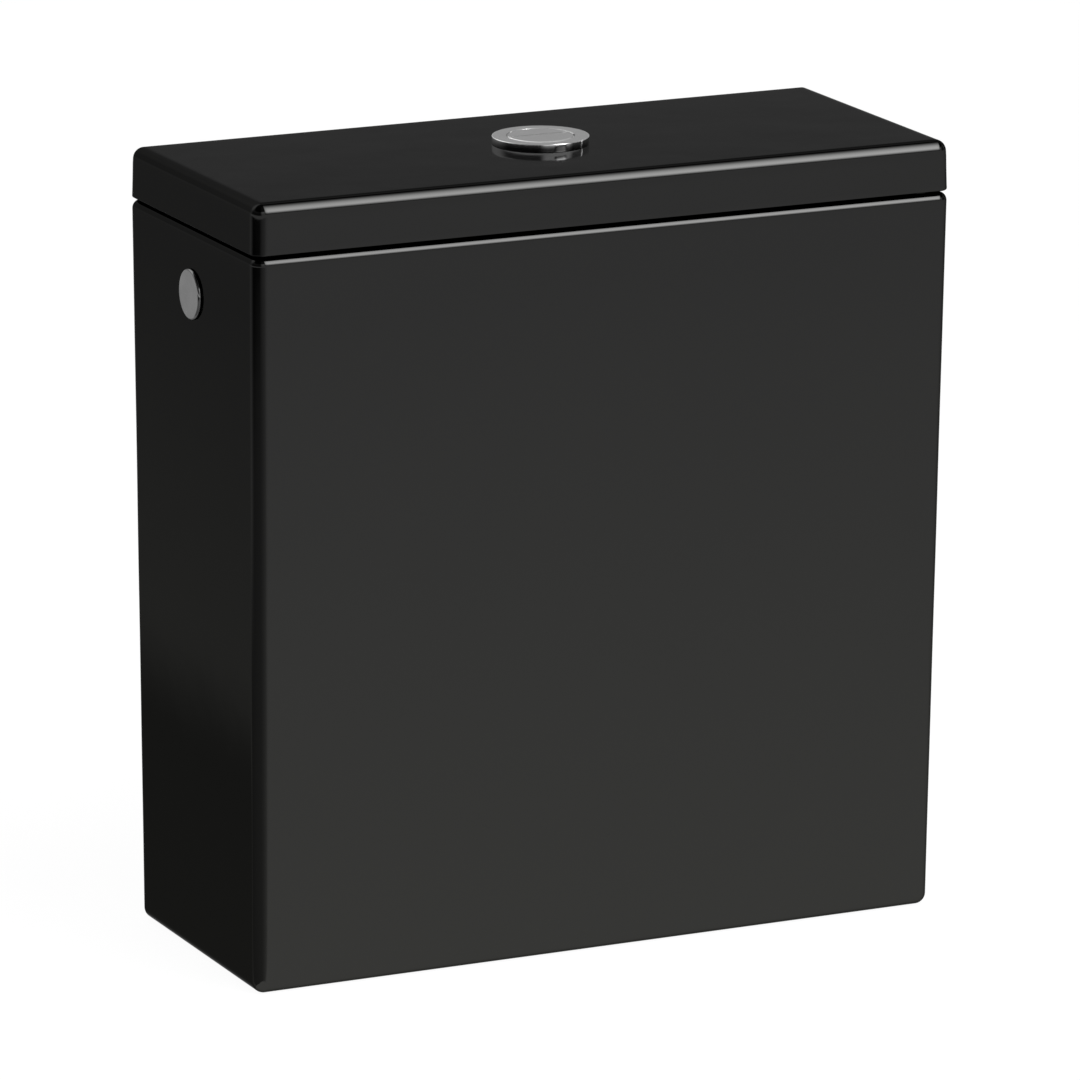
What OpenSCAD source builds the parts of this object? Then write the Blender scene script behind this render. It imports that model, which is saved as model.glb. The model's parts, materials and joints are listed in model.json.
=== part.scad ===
// Close-coupled toilet cistern: a glazed ceramic tank with a lift-off lid, a two-part push button,
// a tube flush valve worked by two rockers, and a side-inlet fill valve with a float arm.
// Millimetres, +Z up, front towards -Y. The origin is on the flush outlet's axis, in the base plane.

/* [Tank] */
// Width of the tank across its rim
tank_w = 385; // [350:1:420]
// Depth of the tank across its rim, front to back
tank_d = 163; // [156:1:190]
// Height of the tank from its base to its rim
tank_h = 380.5; // [345:0.5:420]
// How much each side draws in from the rim down to the base
side_draft = 2.3; // [0:0.1:5]
// How much the front draws in from the rim down to the base
front_draft = 9.7; // [0:0.1:12]
// Thickness of the ceramic walls
wall = 9; // [8:0.5:11]
// Thickness of the tank's floor
floor_t = 10; // [7:0.5:14]
// Depth of the hollow under the floor
recess_h = 26; // [24:0.5:32]
// Width of the rim that the base stands on
base_rim = 14; // [11:0.5:16]
// Radius of the upright and lower edges
edge_r = 6; // [4:0.5:8]
// Radius of the rim's outer edge
rim_r = 4.5; // [2:0.5:5]
// Distance between the two fixing holes in the floor
bolt_spacing = 150; // [130:1:200]
// Diameter of the fixing holes
bolt_hole_d = 11; // [9:0.5:16]

/* [Lid] */
// Height of the lid
lid_h = 26; // [22:0.2:32]
// Gap that the rubber buffers hold open under the lid
lid_gap = 1; // [0.6:0.1:3]
// Thickness of the lid's top
lid_top_t = 9; // [7:0.5:12]
// Thickness of the lid's skirt
lid_wall = 12; // [11.5:0.5:14]
// How much the lid draws in from its lower edge to its top
lid_draft = 0.5; // [0:0.1:1.5]
// Radius of the lid's upper edge
lid_edge_r = 6; // [4:0.5:8]
// Radius of the lid's lower edge
lid_foot_r = 1; // [0.5:0.5:2.5]

/* [Push button] */
// Diameter of the fixed bezel
bezel_d = 49.5; // [48:0.5:60]
// Height of the bezel above the lid
bezel_h = 4.1; // [3:0.1:8]
// Diameter of the two buttons together
button_d = 34; // [33:0.5:36]
// Distance that each button travels
press_travel = 7; // [5:0.5:8]
// Place of the split between the buttons, behind the middle
split_y = 2.5; // [0:0.1:3]
// Distance of each push rod from the middle
rod_y = 9; // [8.5:0.1:9.5]
// Diameter of the push rods
rod_d = 3.6; // [3:0.1:4]
// Depth of the bezel's barrel below the top of the lid
barrel_l = 38; // [34:1:42]

/* [Flush valve] */
// Outer diameter of the outlet thread
outlet_thread_d = 59.6; // [58:0.1:62]
// Bore of the outlet
outlet_bore_d = 51; // [48:0.5:52]
// Outer diameter of the overflow tube
tube_d = 32; // [30:0.5:33]
// Wall of the overflow tube
tube_wall = 2.5; // [2:0.25:3.5]
// Depth of the overflow's mouth below the tank's rim
overflow_drop = 112.5; // [108:0.5:120]
// Height of the valve's cage above its flange
cage_h = 112; // [105:1:116]
// Length of outlet thread that stands out below the gasket
free_thread = 8; // [5:0.5:12]

/* [Rockers] */
// Length of a rocker from its pin to the push rod
press_arm = 15; // [13:0.5:16]
// Length of a rocker from its pin to the hook that it lifts
lift_arm = 22; // [20:0.5:23]
// Diameter of the rocker pins
pin_d = 3; // [2.5:0.1:4]
// Width of a rocker
rocker_w = 9; // [7:0.5:11]

/* [Fill valve] */
// Outer diameter of the inlet thread
inlet_thread_d = 16.66; // [14:0.1:18]
// Bore of the inlet
inlet_bore_d = 10; // [8:0.5:11]
// Distance of the two side holes below the tank's rim
side_hole_drop = 33.5; // [32.5:0.5:40]
// Length of inlet thread that stands out of the tank
tail_l = 30; // [24:0.5:36]
// Length of the float arm
arm_l = 52; // [48:1:56]
// Angle that the float arm hangs below level when the tank is empty
arm_drop = 25; // [15:1:28]
// Length of the float along its arm
float_l = 42; // [34:1:46]
// Width of the float across its arm
float_w = 54; // [40:1:60]
// Height of the float
float_h = 36; // [28:1:40]
// Height of the filling pipe's mouth above the floor
pipe_gap = 20; // [10:1:60]

/* [Side cap] */
// Diameter of the cap over the unused side hole
cap_d = 26; // [24:0.5:32]
// Height of the cap above the tank's side
cap_h = 1.6; // [1.2:0.1:5]

/* [Hidden] */
$fn = 64;
hull_fn = 32;         // fineness of the rounded shells
cut = 1;              // overrun of a cut past the face that it opens
fit_gap = 0.05;       // radial clearance of pieces that turn or slide in a bore
rest_gap = 0.3;       // space between moving pieces that meet
groove_w = 1;         // relief grooves where a free thread starts
groove_t = 0.6;

// Heights of the main levels
z_floor = recess_h + floor_t;
z_lid = tank_h + lid_gap;
z_top = z_lid + lid_h;
z_plate = z_top - lid_top_t;
z_overflow = tank_h - overflow_drop;
side_hole_h = tank_h - side_hole_drop;

// Outer walls at a height, as the draft leaves them
function half_w(z) = tank_w/2 - side_draft*(1 - z/tank_h);
function front_y(z) = -tank_d/2 + front_draft*(1 - z/tank_h);
back_y = tank_d/2;

// Four plan corners of a line set in from the walls, at a height
function corners(z, inset) = [
    for (sx = [-1, 1])
        for (y = [front_y(z) + inset, back_y - inset])
            [sx*(half_w(z) - inset), y]
];

// Rectangle about the origin with rounded corners
module round_rect(w, d, r) {
    square([w - 2*r, d], center = true);
    square([w, d - 2*r], center = true);
    for (sx = [-1, 1])
        for (sy = [-1, 1])
            translate([sx*(w/2 - r), sy*(d/2 - r)]) circle(r);
}

// Round tube from z0 to z1
module ring(r_out, r_in, z0, z1) {
    translate([0, 0, z0])
        difference() {
            cylinder(r = r_out, h = z1 - z0);
            translate([0, 0, -cut]) cylinder(r = r_in, h = z1 - z0 + 2*cut);
        }
}

// Part of a round tube, centred on a direction
module ring_part(r_out, r_in, z0, z1, at, angle) {
    translate([0, 0, z0])
        rotate([0, 0, at - angle/2])
            rotate_extrude(angle = angle)
                translate([r_in, 0]) square([r_out - r_in, z1 - z0]);
}

// Round solid with rounded rims about a hole, from z0 to z1
module soft_ring(r_out, r_in, z0, z1, r) {
    translate([0, 0, (z0 + z1)/2])
        rotate_extrude()
            translate([(r_out + r_in)/2, 0]) round_rect(r_out - r_in, z1 - z0, r);
}

// Outline drawn as depth and height, carried along X about the middle
module across(w) {
    translate([-w/2, 0, 0]) rotate([90, 0, 90]) linear_extrude(w) children();
}

// Outline drawn as width and height, carried along Y about the middle
module along(w) {
    translate([0, w/2, 0]) rotate([90, 0, 0]) linear_extrude(w) children();
}

// Shape built upwards, laid along the side holes' axis from a place on it
module from_side(x, side = 1) {
    translate([side*x, 0, side_hole_h]) rotate([0, side*90, 0]) children();
}

// Upright round edge of a shell, with its end filleted
module filleted_corner(p, r, fillet) {
    translate(p)
        rotate_extrude($fn = hull_fn)
            intersection() {
                translate([r - fillet, 0]) circle(fillet, $fn = hull_fn);
                translate([0, -fillet]) square([r, 2*fillet]);
            }
}

// Ball for the corner of a shell
module ball_corner(p, r) {
    filleted_corner(p, r, r);
}

// Tank
cavity_r = 12;        // radius of the corners inside the tank
hole_play = 1.6;      // play of a thread in its ceramic hole
outlet_hole_d = outlet_thread_d + 2*hole_play;
side_hole_d = inlet_thread_d + hole_play;

module tank() {
    color([0.03, 0.03, 0.03])
    difference() {
        hull() {
            for (p = corners(edge_r, edge_r))
                ball_corner([p.x, p.y, edge_r], edge_r);
            for (p = corners(tank_h - rim_r, edge_r))
                filleted_corner([p.x, p.y, tank_h - rim_r], edge_r, rim_r);
        }
        hull() {
            for (p = corners(z_floor + cavity_r, wall + cavity_r))
                ball_corner([p.x, p.y, z_floor + cavity_r], cavity_r);
            for (p = corners(tank_h, wall + cavity_r))
                translate([p.x, p.y, tank_h]) cylinder(r = cavity_r, h = cut, $fn = hull_fn);
        }
        base_recess();
        translate([0, 0, -cut]) cylinder(d = outlet_hole_d, h = z_floor + 2*cut);
        for (sx = [-1, 1])
            translate([sx*bolt_spacing/2, 0, -cut]) cylinder(d = bolt_hole_d, h = z_floor + 2*cut);
        from_side(-tank_w/2 - cut) cylinder(d = side_hole_d, h = tank_w + 2*cut);
    }
}

// Hollow under the floor, which hides the outlet's nut and gasket
recess_r = 10;
recess_w = 2*(half_w(0) - base_rim);
recess_d = back_y - front_y(0) - 2*base_rim;

module base_recess() {
    translate([0, (back_y + front_y(0))/2, -cut])
        linear_extrude(recess_h + cut) round_rect(recess_w, recess_d, recess_r);
}

// Lid
hole_room = 3;        // space about the buttons for the bezel's barrel
lid_hole_d = button_d + 2*hole_room;
rib_t = 6;
rib_l = 40;
rib_drop = 6;         // depth of the locating ribs inside the rim
rib_gap = 1;          // play of the lid on the tank

module lid() {
    color([0.03, 0.03, 0.03])
    difference() {
        union() {
            difference() {
                lid_shell();
                translate([0, 0, z_lid - cut])
                    linear_extrude(z_plate - z_lid + cut)
                        round_rect(tank_w - 2*lid_wall, tank_d - 2*lid_wall, edge_r);
            }
            locating_ribs();
        }
        translate([0, 0, z_plate - cut]) cylinder(d = lid_hole_d, h = lid_top_t + 2*cut);
    }
}

module lid_shell() {
    hull() {
        for (p = corners(tank_h, edge_r))
            filleted_corner([p.x, p.y, z_lid + lid_foot_r], edge_r, lid_foot_r);
        for (p = corners(tank_h, lid_draft + lid_edge_r))
            ball_corner([p.x, p.y, z_top - lid_edge_r], lid_edge_r);
    }
}

// Ribs that drop inside the tank's rim and keep the lid in place
module locating_ribs() {
    h = z_plate - z_lid + rib_drop + cut;
    x = tank_w/2 - wall - rib_gap - rib_t;
    y = tank_d/2 - wall - rib_gap - rib_t;
    for (turn = [0, 180])
        rotate([0, 0, turn]) {
            translate([x, -rib_l/2, z_lid - rib_drop]) cube([rib_t, rib_l, h]);
            for (sx = [-1, 1])
                translate([sx*tank_w/4 - rib_l/2, y, z_lid - rib_drop]) cube([rib_l, rib_t, h]);
        }
}

// Four rubber buffers between the rim and the lid
buffer_d = 4;
buffer_in = 30;       // distance of the buffers from the corners

module lid_buffers() {
    inset = (rim_r + wall)/2;
    color([0.12, 0.12, 0.12])
    for (p = corners(tank_h, inset))
        translate([p.x - sign(p.x)*buffer_in, p.y, tank_h]) cylinder(d = buffer_d, h = lid_gap);
}

// Push button
barrel_play = 1.3;    // play of the barrel in the lid
button_play = 0.3;    // play of the buttons in the barrel
barrel_d = lid_hole_d - 2*barrel_play;
barrel_bore_d = button_d + 2*button_play;
barrel_z = z_top - barrel_l;
lip_h = 2;            // ledge at the barrel's foot, which carries the button guide
lip_w = 1.6;
bezel_round = 0.7;    // rounding of the bezel's outer edge
bezel_lip = 0.2;      // rounding of its inner edge
bezel_overlap = (bezel_d - lid_hole_d)/2;
seal_t = 1;
seal_in = lid_hole_d/2 + bezel_overlap/4;
seal_out = bezel_d/2 - bezel_overlap/4;

module button_bezel() {
    color([0.75, 0.75, 0.75])
    difference() {
        union() {
            translate([0, 0, z_top]) rotate_extrude() bezel_section();
            ring(barrel_d/2, barrel_bore_d/2, barrel_z, z_top + bezel_h/2);
            ring(barrel_d/2, barrel_bore_d/2 - lip_w, barrel_z, barrel_z + lip_h);
        }
        ring(seal_out, seal_in, z_top - cut, z_top + seal_t);
    }
}

// Half section of the bezel's flange: the outer edge is eased, the inner one nearly sharp
module bezel_section() {
    r_in = barrel_bore_d/2;
    r_out = bezel_d/2;
    translate([r_in + bezel_lip, 0]) square([r_out - bezel_round - r_in - bezel_lip, bezel_h]);
    translate([r_in, 0]) square([bezel_lip + cut, bezel_h - bezel_lip]);
    translate([r_in + bezel_lip, bezel_h - bezel_lip]) circle(bezel_lip);
    translate([r_out - bezel_round - cut, 0]) square([bezel_round + cut, bezel_h - bezel_round]);
    translate([r_out - bezel_round, bezel_h - bezel_round]) circle(bezel_round);
}

module bezel_seal() {
    color([0.1, 0.1, 0.1]) ring(seal_out, seal_in, z_top, z_top + seal_t);
}

// Hand nut that holds the bezel from under the lid
hand_nut_h = 8;
hand_nut_lugs = 6;
lug_out = 3;          // reach of a nut's lugs past its rim
lug_w = 5;

module bezel_nut() {
    color([0.85, 0.85, 0.85])
        translate([0, 0, z_plate - hand_nut_h])
            lug_nut(bezel_d/2, barrel_d, hand_nut_h, hand_nut_lugs);
}

// Round nut with grip lugs about its rim
module lug_nut(r, thread_d, h, lugs) {
    difference() {
        union() {
            cylinder(r = r, h = h);
            for (i = [0 : lugs - 1])
                rotate([0, 0, i*360/lugs])
                    translate([r - lug_out, -lug_w/2, 0]) cube([2*lug_out, lug_w, h]);
        }
        translate([0, 0, -cut]) cylinder(d = thread_d + 2*fit_gap, h = h + 2*cut);
    }
}

// Buttons: two parts of one disc, each with a skirt and a stem
split_gap = 0.4;
button_t = 2;
button_round = 0.8;
button_skirt = 10;
skirt_t = 1.5;
button_z = z_top + bezel_h;       // top of the buttons at rest
stem_wall = 1.4;
stem_d = rod_d + 2*stem_wall;
rod_grip = 12;                    // length of rod that is screwed into its stem
guide_t = 4;
guide_z = barrel_z + lip_h + guide_t;
stem_below = 4;                   // length of stem that stays below the guide's travel
stem_z = guide_z - guide_t - press_travel - stem_below;

module full_button() {
    color([0.78, 0.78, 0.78]) button_part(-rod_y, -button_d, split_y - split_gap/2);
}

module half_button() {
    color([0.78, 0.78, 0.78]) button_part(rod_y, split_y + split_gap/2, button_d);
}

// The part of the button disc that lies between two places front to back
module button_part(y, y0, y1) {
    difference() {
        union() {
            intersection() {
                translate([0, 0, button_z]) rotate_extrude() button_section();
                translate([-button_d, y0, button_z - button_skirt - cut])
                    cube([2*button_d, y1 - y0, button_skirt + 2*cut]);
            }
            translate([0, y, stem_z]) cylinder(d = stem_d, h = button_z - button_t/2 - stem_z);
        }
        translate([0, y, stem_z - cut]) cylinder(d = rod_d, h = rod_grip + cut);
    }
}

// Half section of the button disc: a thin top with a rounded edge, and a skirt
module button_section() {
    r = button_d/2;
    translate([0, -button_t]) square([r - button_round, button_t]);
    translate([r - skirt_t, -button_skirt]) square([skirt_t, button_skirt - button_round]);
    translate([r - button_round, -button_round]) circle(button_round);
}

module button_guide() {
    color([0.9, 0.9, 0.9])
    difference() {
        translate([0, 0, guide_z - guide_t]) cylinder(d = barrel_bore_d - 2*fit_gap, h = guide_t);
        for (y = [-rod_y, rod_y])
            translate([0, y, guide_z - guide_t - cut])
                cylinder(d = stem_d + 2*fit_gap, h = guide_t + 2*cut);
    }
}

module full_rod() {
    color([0.9, 0.9, 0.9]) push_rod(-rod_y);
}

module half_rod() {
    color([0.9, 0.9, 0.9]) push_rod(rod_y);
}

// Rod from a button's stem down to its rocker, with a round foot
module push_rod(y) {
    translate([0, y, rod_foot_z]) {
        cylinder(d = rod_d, h = stem_z + rod_grip - rod_foot_z);
        sphere(d = rod_d);
    }
}

// Coil springs under the buttons
spring_wire = 0.8;
spring_gap = 0.8;     // space between a spring and its stem
spring_r = stem_d/2 + spring_wire/2 + spring_gap;
spring_turns = 7;
spring_rings = 12;    // rings of the wire in one turn
spring_sides = 6;

module full_spring() {
    color([0.6, 0.6, 0.62]) button_spring(-rod_y);
}

module half_spring() {
    color([0.6, 0.6, 0.62]) button_spring(rod_y);
}

module button_spring(y) {
    low = guide_z + spring_wire/2;
    high = button_z - button_t - spring_wire/2;
    translate([0, y, low]) coil(spring_r, high - low, spring_turns);
}

// Round wire wound as a helix, swept ring by ring
module coil(r, h, turns) {
    n = turns*spring_rings;
    w = spring_wire/2;
    points = [
        for (i = [0 : n])
            for (k = [0 : spring_sides - 1])
                let (a = i*360/spring_rings, b = k*360/spring_sides)
                    [(r + w*cos(b))*cos(a), (r + w*cos(b))*sin(a), h*i/n + w*sin(b)]
    ];
    sides = [
        for (i = [0 : n - 1])
            for (k = [0 : spring_sides - 1])
                let (p = i*spring_sides + k, q = i*spring_sides + (k + 1) % spring_sides)
                    each [[p, p + spring_sides, q], [q, p + spring_sides, q + spring_sides]]
    ];
    last = n*spring_sides;
    ends = [
        for (k = [1 : spring_sides - 2])
            each [[0, k, k + 1], [last, last + k + 1, last + k]]
    ];
    echo(least_gap_between_turns = h/turns - spring_wire);
    polyhedron(points = points, faces = concat(sides, ends));
}

// Flush valve: heights of its seat and its cage
washer_t = 3;
flange_t = 5;
flange_w = 15;        // reach of the flange past the thread
flange_r = outlet_thread_d/2 + flange_w;
z_flange = z_floor + washer_t;
z_cage = z_flange + flange_t;
seat_h = 8;           // height of the seat ring above the flange
seat_t = 3;
seat_w = 2;           // step from the outlet's bore out to the seat
z_seat = z_cage + seat_h;
seat_r = outlet_bore_d/2 + seat_w;
cage_ring_t = 4;
cage_wall = 4;
cage_in = 4;          // distance of the cage from the flange's edge
cage_foot = 3;        // reach of the cage's foot ring inside its legs
cage_r = flange_r - cage_in;
lock_gap = 0.2;       // play of the cage under its bayonet lugs
lugs = 4;
lug_angle = 22;
lug_step = 0.8;       // distance of a lug's outer face inside the flange's edge
leg_angle = 26;
leg_step = 0.6;       // distance of a leg's outer face inside the rings' edge

module valve_base() {
    color([0.88, 0.89, 0.9]) {
        difference() {
            union() {
                cylinder(d = outlet_thread_d, h = z_cage);
                translate([0, 0, z_flange]) cylinder(r = flange_r, h = flange_t);
                translate([0, 0, z_cage - cut]) cylinder(r = seat_r + seat_t, h = seat_h + cut);
            }
            translate([0, 0, -cut]) cylinder(d = outlet_bore_d, h = z_seat + 2*cut);
            translate([0, 0, z_cage - flange_t/2]) cylinder(r = seat_r, h = z_seat);
            ring(flange_r, outlet_thread_d/2 - groove_t, free_thread, free_thread + groove_w);
        }
        for (i = [0 : lugs - 1])
            bayonet_lug(i*360/lugs);
    }
}

// Lug that stands on the flange and grips the cage's foot ring
module bayonet_lug(at) {
    z_grip = z_cage + cage_ring_t + lock_gap;
    r = flange_r - lug_step;
    ring_part(r, cage_r + lock_gap, z_cage - cut, z_grip + cut, at, lug_angle);
    ring_part(r + lug_step/2, cage_r - cage_wall + cut, z_grip, z_grip + cage_ring_t, at, lug_angle);
}

module base_washer() {
    color([0.08, 0.08, 0.08]) ring(flange_r, outlet_thread_d/2 + rest_gap, z_floor, z_flange);
}

// Back nut under the floor, and the gasket that covers it
back_nut_h = 9;
back_nut_lap = 5;     // reach of the back nut past its hole
back_nut_r = outlet_hole_d/2 + back_nut_lap;
back_nut_lugs = 8;
gasket_wall = 8;
gasket_bevel = 4;

module base_nut() {
    color([0.85, 0.86, 0.87])
        translate([0, 0, recess_h - back_nut_h])
            lug_nut(back_nut_r, outlet_thread_d, back_nut_h, back_nut_lugs);
}

module pan_gasket() {
    r_in = outlet_thread_d/2 + rest_gap;
    r_pocket = back_nut_r + lug_out + rest_gap;
    r_out = r_pocket + gasket_wall;
    z_pocket = recess_h - back_nut_h - rest_gap;
    color([0.1, 0.1, 0.1])
    rotate_extrude()
        polygon([
            [r_in, free_thread], [r_out - gasket_bevel, free_thread], [r_out, free_thread + gasket_bevel],
            [r_out, recess_h], [r_pocket, recess_h], [r_pocket, z_pocket], [r_in, z_pocket]
        ]);
}

// Cage: foot ring, legs and a guide plate for the overflow tube
guide_plate_t = 8;
tube_play = 0.6;      // play of the tube in its guide
z_guide = z_cage + cage_h;
tongue_w = 14;
tongue_start = 4;     // distance of a tongue's root from the tube
stem_past = 8;        // distance of the half-flush stem past the rocker's tip
stem_y = rod_y + press_arm + lift_arm + stem_past;
half_stem_d = 5;
stem_play = 0.4;

module valve_cage() {
    color([0.9, 0.91, 0.92])
    difference() {
        union() {
            ring(cage_r, cage_r - cage_wall - cage_foot, z_cage, z_cage + cage_ring_t);
            for (i = [0 : lugs - 1])
                ring_part(
                    cage_r - leg_step, cage_r - cage_wall, z_cage + cut, z_guide - cut,
                    (i + 0.5)*360/lugs, leg_angle
                );
            translate([0, 0, z_guide - guide_plate_t]) cylinder(r = cage_r, h = guide_plate_t);
            translate([0, 0, z_guide - guide_plate_t]) guide_tongue(guide_plate_t);
        }
        translate([0, 0, z_guide - guide_plate_t - cut])
            cylinder(d = tube_d + 2*tube_play, h = guide_plate_t + 2*cut);
    }
}

// Tongue that reaches back to the half-flush stem and guides it
module guide_tongue(t) {
    difference() {
        union() {
            translate([-tongue_w/2, tube_d/2 + tongue_start, 0])
                cube([tongue_w, stem_y - tube_d/2 - tongue_start, t]);
            translate([0, stem_y, 0]) cylinder(d = tongue_w, h = t);
        }
        translate([0, stem_y, -cut]) cylinder(d = half_stem_d + 2*stem_play, h = t + 2*cut);
    }
}

// Bridge: two columns and a head with cheeks for the rocker pins
head_t = 4;
head_gap = 16;        // space between the overflow's mouth and the head
pivot_up = 12;        // height of the pins above the head
column_gap = 9;       // space between the tube and a column
z_head = z_overflow + head_gap;
z_pivot = z_head + head_t + pivot_up;
column_x = tube_d/2 + column_gap;
column_t = 4;
column_w = 12;
cheek_t = 3;
cheek_in = rocker_w/2 + rest_gap;
pivot_y = rod_y + press_arm;
hub_wall = 3.5;
head_edge = 2;        // edge of the head past the cheeks
pin_end = 0.5;        // length of a pin that stands out at each end
hub_r = pin_d/2 + hub_wall;
head_w = 2*(column_x + column_t);
head_d = 2*(pivot_y + hub_r + head_edge);

module valve_bridge() {
    color([0.86, 0.88, 0.9]) {
        for (sx = [-1, 1])
            translate([sx*(column_x + column_t/2), 0, (z_guide + z_head + cut)/2])
                cube([column_t, column_w, z_head - z_guide + cut], center = true);
        translate([0, 0, z_head]) linear_extrude(head_t) round_rect(head_w, head_d, column_t);
        translate([0, 0, z_head]) guide_tongue(head_t);
        for (sx = [-1, 1])
            translate([sx*(cheek_in + cheek_t/2), 0, 0]) across(cheek_t) cheek_outline();
    }
}

// Side of the rockers' housing, with an eye round each pin
module cheek_outline() {
    difference() {
        union() {
            translate([-pivot_y - hub_r, z_head]) square([2*(pivot_y + hub_r), z_pivot - z_head]);
            for (y = [-pivot_y, pivot_y])
                translate([y, z_pivot]) circle(hub_r);
        }
        for (y = [-pivot_y, pivot_y])
            translate([y, z_pivot]) circle(d = pin_d);
    }
}

module rocker_pins() {
    color([0.7, 0.7, 0.72])
    for (y = [-pivot_y, pivot_y])
        translate([0, y, z_pivot])
            rotate([0, 90, 0]) cylinder(d = pin_d, h = 2*(cheek_in + cheek_t + pin_end), center = true);
}

// Rockers: a pad under the push rod, a hub on the pin, and an arm that lifts a hook.
// The pad's top lies in the pin's plane, so half the travel tilts it above and half below.
pad_t = 4;
pad_end = 4;          // length of the pad past the push rod
tip_r = 2.5;
tip_neck = 1.8;       // half height of the lift arm at its tip
hub_step = 1;
arm_root = hub_r - hub_step;      // half height of the lift arm at the hub
arm_lap = 2;          // reach of each arm past the pin, inside the hub
tilt = atan(press_travel/2/press_arm);
lift = 2*lift_arm*sin(tilt);                  // travel of the hook for one press
rod_foot_z = z_pivot + press_travel/2 + (rod_d/2 + rest_gap)/cos(tilt);
z_hook = z_pivot - lift_arm*sin(tilt) + tip_r + rest_gap;

module full_rocker() {
    color([0.2, 0.45, 0.7]) translate([0, -pivot_y, z_pivot]) rocker();
}

module half_rocker() {
    color([0.3, 0.6, 0.8]) translate([0, pivot_y, z_pivot]) rotate([0, 0, 180]) rocker();
}

module rocker() {
    rotate([tilt, 0, 0]) across(rocker_w) rocker_outline();
}

module rocker_outline() {
    difference() {
        union() {
            circle(hub_r);
            translate([-arm_lap, -pad_t]) square([press_arm + pad_end - pad_t/2 + arm_lap, pad_t]);
            translate([press_arm + pad_end - pad_t/2, -pad_t/2]) circle(pad_t/2);
            polygon([[-lift_arm, tip_neck], [-lift_arm, -tip_neck], [arm_lap, -arm_root], [arm_lap, arm_root]]);
            translate([-lift_arm, 0]) circle(tip_r);
        }
        circle(pin_d/2 + fit_gap);
    }
}

// Overflow tube, which is the plug of the flush valve: it lifts with its seal and float
seal_h = 3;
clip_h = 2.8;
carrier_t = 2.8;
seal_gap = 0.2;       // space that keeps the stored seal off its seat
seal_over = 1;        // reach of the seal past its seat
clip_in = 4;          // distance of the clip's edge inside the seat
z_seal = z_seat + seal_gap;
z_carrier = z_seal + seal_h;
seal_disc_r = seat_r + seat_t + seal_over;

module overflow_tube() {
    z_foot = z_seal - clip_h;
    color([0.93, 0.93, 0.93])
    difference() {
        union() {
            translate([0, 0, z_foot]) cylinder(d = tube_d, h = z_overflow - z_foot);
            translate([0, 0, z_carrier]) cylinder(r = seal_disc_r - seal_over, h = carrier_t);
        }
        translate([0, 0, z_foot - cut]) cylinder(d = tube_d - 2*tube_wall, h = z_overflow - z_foot + 2*cut);
    }
}

module flush_seal() {
    color([0.35, 0.4, 0.45]) ring(seal_disc_r, tube_d/2, z_seal, z_carrier);
}

module seal_clip() {
    color([0.85, 0.85, 0.87]) ring(seat_r - clip_in, tube_d/2, z_seal - clip_h, z_seal);
}

// Ring-shaped float on the tube, inside the cage
main_float_h = 48;
main_float_gap = 6;   // space above the lifted float
main_float_play = 3;  // space between the float and the cage's legs
float_round = 3;      // rounding of the ring floats

module main_float() {
    z1 = z_guide - guide_plate_t - lift - main_float_gap;
    color([0.95, 0.95, 0.93])
        soft_ring(cage_r - cage_wall - main_float_play, tube_d/2, z1 - main_float_h, z1, float_round);
}

// Hook clamped to the tube, which reaches over the front rocker's tip
clamp_h = 12;
clamp_t = 4;
hook_t = 4;
hook_step = 1;        // a hook is this much narrower than its rocker
hook_w = rocker_w - hook_step;
clamp_drop = 30;      // distance of the clamp below the overflow's mouth
hook_y = stem_y + half_stem_d/2;
tab_past = 0.4;       // reach of a hook's tab past the middle of the rocker's tip
tab_l = hook_y - pivot_y - lift_arm*cos(tilt) + tab_past;

module lift_hook() {
    z0 = z_overflow - clamp_drop;
    color([0.2, 0.45, 0.7]) {
        ring(tube_d/2 + clamp_t, tube_d/2, z0, z0 + clamp_h);
        across(hook_w)
            polygon([
                [-tube_d/2 - clamp_t/2, z0 + hook_t], [-tube_d/2 - clamp_t/2, z0],
                [-hook_y, z0], [-hook_y, z_hook + hook_t],
                [-hook_y + tab_l, z_hook + hook_t], [-hook_y + tab_l, z_hook],
                [-hook_y + hook_t, z_hook], [-hook_y + hook_t, z0 + hook_t]
            ]);
    }
}

// Float of the half flush on its own stem, behind the tube
half_float_r = 11.5;
half_float_h = 50;
half_float_gap = 12;  // space between the cage's guide and the float
stem_end = 6;         // length of stem below the cage's guide

module half_float() {
    z0 = z_guide + half_float_gap;
    z_end = z_guide - guide_plate_t - stem_end;
    color([0.3, 0.6, 0.8]) {
        translate([0, stem_y, z_end]) cylinder(d = half_stem_d, h = z_hook + hook_t - z_end);
        translate([0, stem_y, 0]) soft_ring(half_float_r, half_stem_d/2 - cut/2, z0, z0 + half_float_h, float_round);
        translate([-hook_w/2, hook_y - tab_l, z_hook]) cube([hook_w, tab_l - half_stem_d/2, hook_t]);
    }
}

// Fill valve on the right side: seats of round pieces on the drafted wall
function seat_in(r) = half_w(side_hole_h - r) - wall;
function seat_out(r) = half_w(side_hole_h + r);
tail_flange_lap = 4;  // reach of the inlet's flange past its hole
side_nut_lap = 6;     // reach of the nuts past their holes
tail_flange_r = side_hole_d/2 + tail_flange_lap;
tail_flange_t = 4;
side_washer_t = 2.5;
collar_t = 1.5;
side_nut_h = 7;
side_nut_r = side_hole_d/2 + side_nut_lap;
socket_l = 12;
x_flange = seat_in(tail_flange_r) - side_washer_t - tail_flange_t;
x_socket = x_flange - socket_l;
x_free = seat_out(tail_flange_r) + collar_t + side_nut_h;    // where the free thread starts

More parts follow.
